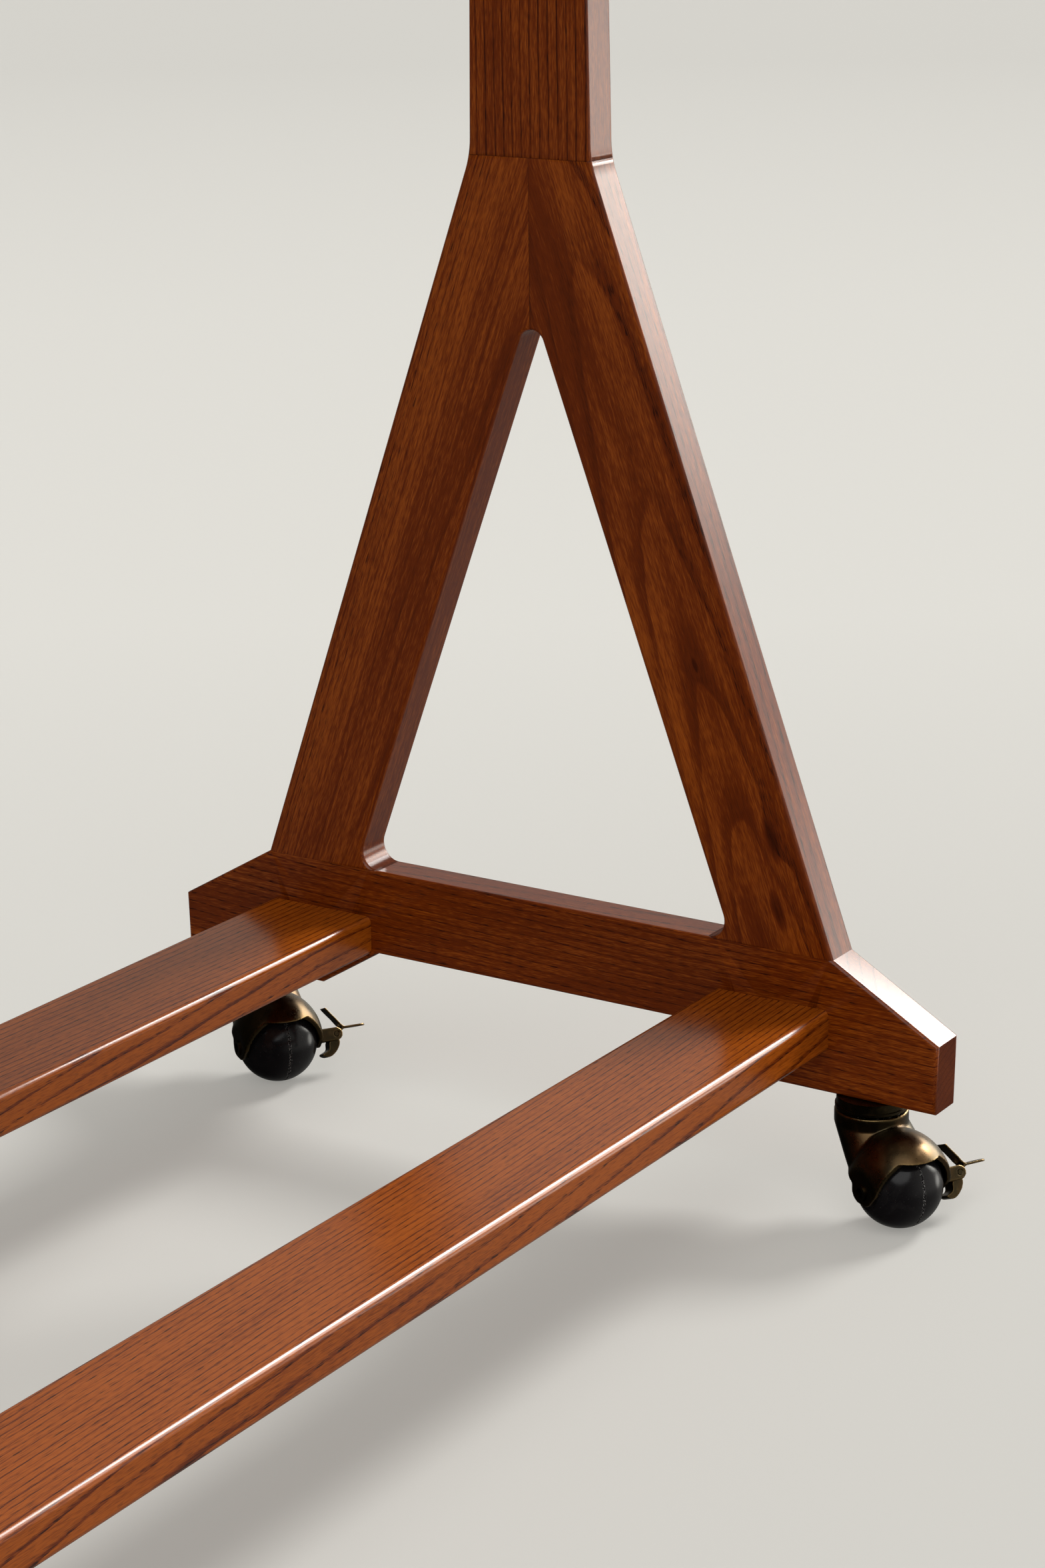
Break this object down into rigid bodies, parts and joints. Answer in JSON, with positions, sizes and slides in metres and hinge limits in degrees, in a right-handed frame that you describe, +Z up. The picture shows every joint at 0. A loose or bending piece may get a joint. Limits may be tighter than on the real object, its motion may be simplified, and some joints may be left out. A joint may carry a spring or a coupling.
{
  "type": "clothes rack",
  "caption": "Free-standing wooden clothes rack with two A-shaped end frames, flat lower rails, a round hanging bar and hooded ball casters with brake levers.",
  "frame": {"origin": "middle of the rack's footprint, on the floor that the balls stand on", "axes": "+X runs along the rails and the hanging bar, +Y from front to back, +Z up"},
  "size_m": [1.1516, 0.5462, 1.6],
  "materials": {
    "stained_ash": "satin walnut-stained ash",
    "dowel_beech": "raw beech",
    "antique_bronze": "antique bronze, worn on the edges",
    "black_ball": "satin black",
    "brass_insert": "plain brass",
    "zinc_steel": "zinc-plated steel"
  },
  "bodies": {
    "rack": {"back_rail": "stained_ash", "bar_bolts": "zinc_steel", "bar_inserts": "brass_insert", "front_rail": "stained_ash", "hanging_bar": "stained_ash", "left_back_bearing_cap": "antique_bronze", "left_back_leg": "stained_ash", "left_back_race_balls": "zinc_steel", "left_back_stem": "zinc_steel", "left_back_stem_insert": "brass_insert", "left_foot_beam": "stained_ash", "left_frame_dowels": "dowel_beech", "left_front_bearing_cap": "antique_bronze", "left_front_leg": "stained_ash", "left_front_race_balls": "zinc_steel", "left_front_stem": "zinc_steel", "left_front_stem_insert": "brass_insert", "left_post": "stained_ash", "rail_barrel_nuts": "zinc_steel", "rail_bolts": "zinc_steel", "rail_dowels": "dowel_beech", "right_back_bearing_cap": "antique_bronze", "right_back_leg": "stained_ash", "right_back_race_balls": "zinc_steel", "right_back_stem": "zinc_steel", "right_back_stem_insert": "brass_insert", "right_foot_beam": "stained_ash", "right_frame_dowels": "dowel_beech", "right_front_bearing_cap": "antique_bronze", "right_front_leg": "stained_ash", "right_front_race_balls": "zinc_steel", "right_front_stem": "zinc_steel", "right_front_stem_insert": "brass_insert", "right_post": "stained_ash"},
    "right_front_fork": {"right_front_hood": "antique_bronze", "right_front_axle_pin": "antique_bronze", "right_front_brake_pin": "antique_bronze"},
    "right_front_ball": {"right_front_outer_ball_half": "black_ball", "right_front_inner_ball_half": "black_ball"},
    "right_front_brake": {"right_front_brake_lever": "antique_bronze"},
    "right_back_fork": {"right_back_hood": "antique_bronze", "right_back_axle_pin": "antique_bronze", "right_back_brake_pin": "antique_bronze"},
    "right_back_ball": {"right_back_outer_ball_half": "black_ball", "right_back_inner_ball_half": "black_ball"},
    "right_back_brake": {"right_back_brake_lever": "antique_bronze"},
    "left_back_fork": {"left_back_hood": "antique_bronze", "left_back_axle_pin": "antique_bronze", "left_back_brake_pin": "antique_bronze"},
    "left_back_ball": {"left_back_outer_ball_half": "black_ball", "left_back_inner_ball_half": "black_ball"},
    "left_back_brake": {"left_back_brake_lever": "antique_bronze"},
    "left_front_fork": {"left_front_hood": "antique_bronze", "left_front_axle_pin": "antique_bronze", "left_front_brake_pin": "antique_bronze"},
    "left_front_ball": {"left_front_outer_ball_half": "black_ball", "left_front_inner_ball_half": "black_ball"},
    "left_front_brake": {"left_front_brake_lever": "antique_bronze"}
  },
  "joints": [
    {"name": "right_front_swivel", "type": "hinge", "parent": "rack", "child": "right_front_fork", "pos_m": [0.537, -0.218, 0.07], "axis": [0, 0, 1], "continuous": true},
    {"name": "right_front_roll", "type": "hinge", "parent": "right_front_fork", "child": "right_front_ball", "pos_m": [0.52316, -0.24349, 0.025], "axis": [0.8788, -0.4772, 0], "continuous": true},
    {"name": "right_front_brake_press", "type": "hinge", "parent": "right_front_fork", "child": "right_front_brake", "pos_m": [0.55589, -0.26181, 0.0239], "axis": [0.4359, 0.8028, -0.4067], "range_deg": [0, 18]},
    {"name": "right_back_swivel", "type": "hinge", "parent": "rack", "child": "right_back_fork", "pos_m": [0.537, 0.218, 0.07], "axis": [0, 0, 1], "continuous": true},
    {"name": "right_back_roll", "type": "hinge", "parent": "right_back_fork", "child": "right_back_ball", "pos_m": [0.52078, 0.19396, 0.025], "axis": [0.829, -0.5592, 0], "continuous": true},
    {"name": "right_back_brake_press", "type": "hinge", "parent": "right_back_fork", "child": "right_back_brake", "pos_m": [0.5516, 0.17258, 0.0239], "axis": [0.5108, 0.7574, -0.4067], "range_deg": [0, 18]},
    {"name": "left_back_swivel", "type": "hinge", "parent": "rack", "child": "left_back_fork", "pos_m": [-0.537, 0.218, 0.07], "axis": [0, 0, 1], "continuous": true},
    {"name": "left_back_roll", "type": "hinge", "parent": "left_back_fork", "child": "left_back_ball", "pos_m": [-0.52316, 0.24349, 0.025], "axis": [-0.8788, 0.4772, 0], "continuous": true},
    {"name": "left_back_brake_press", "type": "hinge", "parent": "left_back_fork", "child": "left_back_brake", "pos_m": [-0.55589, 0.26181, 0.0239], "axis": [-0.4359, -0.8028, -0.4067], "range_deg": [0, 18]},
    {"name": "left_front_swivel", "type": "hinge", "parent": "rack", "child": "left_front_fork", "pos_m": [-0.537, -0.218, 0.07], "axis": [0, 0, 1], "continuous": true},
    {"name": "left_front_roll", "type": "hinge", "parent": "left_front_fork", "child": "left_front_ball", "pos_m": [-0.52078, -0.19396, 0.025], "axis": [-0.829, 0.5592, 0], "continuous": true},
    {"name": "left_front_brake_press", "type": "hinge", "parent": "left_front_fork", "child": "left_front_brake", "pos_m": [-0.5516, -0.17258, 0.0239], "axis": [-0.5108, -0.7574, -0.4067], "range_deg": [0, 18]}
  ]
}
